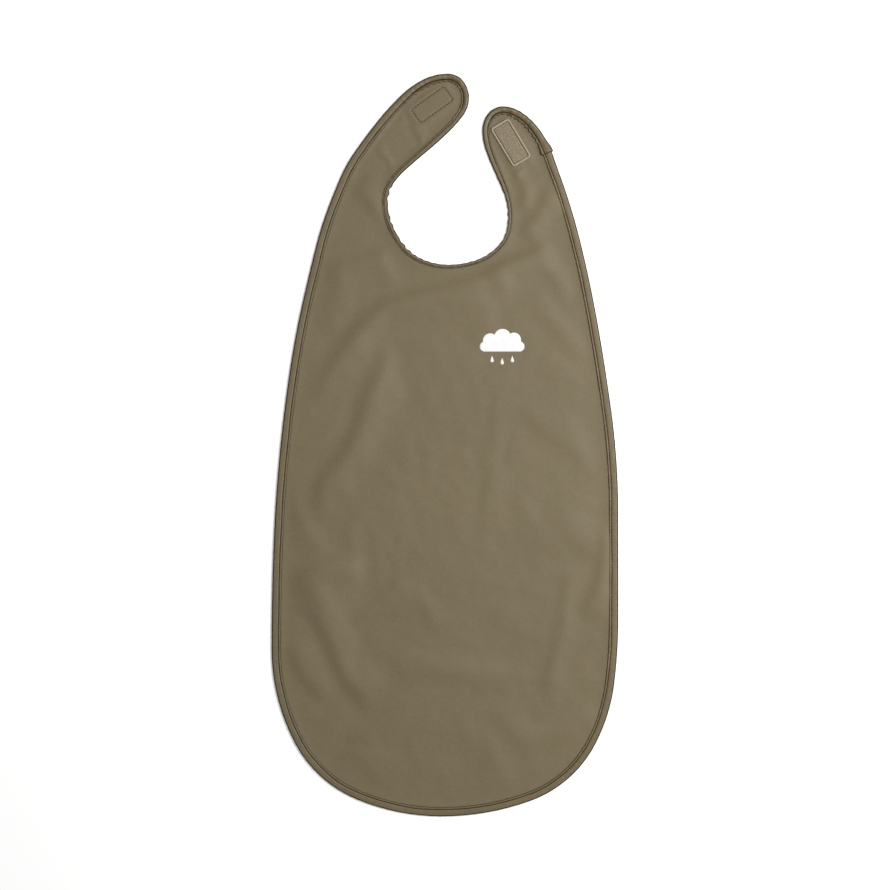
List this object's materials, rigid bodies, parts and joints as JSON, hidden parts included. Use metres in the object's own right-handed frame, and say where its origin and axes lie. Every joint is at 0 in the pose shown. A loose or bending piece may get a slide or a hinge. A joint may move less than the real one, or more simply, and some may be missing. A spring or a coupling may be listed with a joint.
{
  "type": "apron bib",
  "caption": "Long wipe-clean fabric bib with bound edges and two neck straps that wrap round and fasten with hook and loop patches.",
  "frame": {"origin": "on the table under the middle of the overall box, the bib lying flat on its back", "axes": "+Z out of the front face, +Y towards the neck straps, +X to the right as seen from the front"},
  "size_m": [0.324, 0.694, 0.0033],
  "materials": {
    "coated_fabric": "smooth satin coated front, knitted back",
    "binding_tape": "folded coated tape, satin",
    "sewing_thread": "matt twisted polyester",
    "hook_tape": "nylon hooks on woven tape",
    "loop_tape": "brushed nylon loops",
    "white_print": "soft white transfer print"
  },
  "bodies": {
    "chest": {"panel_chest": "coated_fabric", "binding_chest_left": "binding_tape", "binding_chest_right": "binding_tape", "binding_chest_neck": "binding_tape", "seam_thread_chest": "sewing_thread", "front_print": "white_print"},
    "apron": {"panel_apron": "coated_fabric", "binding_apron": "binding_tape", "seam_thread_apron": "sewing_thread"},
    "left_shoulder": {"panel_left_shoulder": "coated_fabric", "binding_left_shoulder_side": "binding_tape", "binding_left_shoulder_neck": "binding_tape", "seam_thread_left_shoulder": "sewing_thread"},
    "left_strap": {"panel_left_strap": "coated_fabric", "binding_left_strap": "binding_tape", "seam_thread_left_strap": "sewing_thread", "hook_patch": "hook_tape", "hook_patch_thread": "sewing_thread"},
    "right_shoulder": {"panel_right_shoulder": "coated_fabric", "binding_right_shoulder_side": "binding_tape", "binding_right_shoulder_neck": "binding_tape", "seam_thread_right_shoulder": "sewing_thread"},
    "right_strap": {"panel_right_strap": "coated_fabric", "binding_right_strap": "binding_tape", "binding_lap": "binding_tape", "seam_thread_right_strap": "sewing_thread", "loop_patch": "loop_tape", "loop_patch_thread": "sewing_thread"}
  },
  "joints": [
    {"name": "lap_fold", "type": "hinge", "parent": "chest", "child": "apron", "pos_m": [0, -0.136, 0.0025], "axis": [-1, 0, 0], "range_deg": [0, 165]},
    {"name": "left_root_fold", "type": "hinge", "parent": "chest", "child": "left_shoulder", "pos_m": [-0.07361, 0.20891, 0.0025], "axis": [0.8141, 0.5807, 0], "range_deg": [0, 70.7]},
    {"name": "left_tip_fold", "type": "hinge", "parent": "left_shoulder", "child": "left_strap", "pos_m": [-0.03924, 0.28103, 0.0025], "axis": [0.9397, -0.342, 0], "range_deg": [0, 75.1]},
    {"name": "right_root_fold", "type": "hinge", "parent": "chest", "child": "right_shoulder", "pos_m": [0.07863, 0.15654, 0.0025], "axis": [0.5446, -0.8387, 0], "range_deg": [0, 57.9]},
    {"name": "right_tip_fold", "type": "hinge", "parent": "right_shoulder", "child": "right_strap", "pos_m": [0.08094, 0.232, 0.0025], "axis": [0.8949, -0.4462, 0], "range_deg": [0, 64.6]}
  ],
  "couplings": [
    {"joint": "left_tip_fold", "follows": "left_root_fold", "ratio": 1.0622},
    {"joint": "right_tip_fold", "follows": "right_root_fold", "ratio": 1.1157}
  ]
}
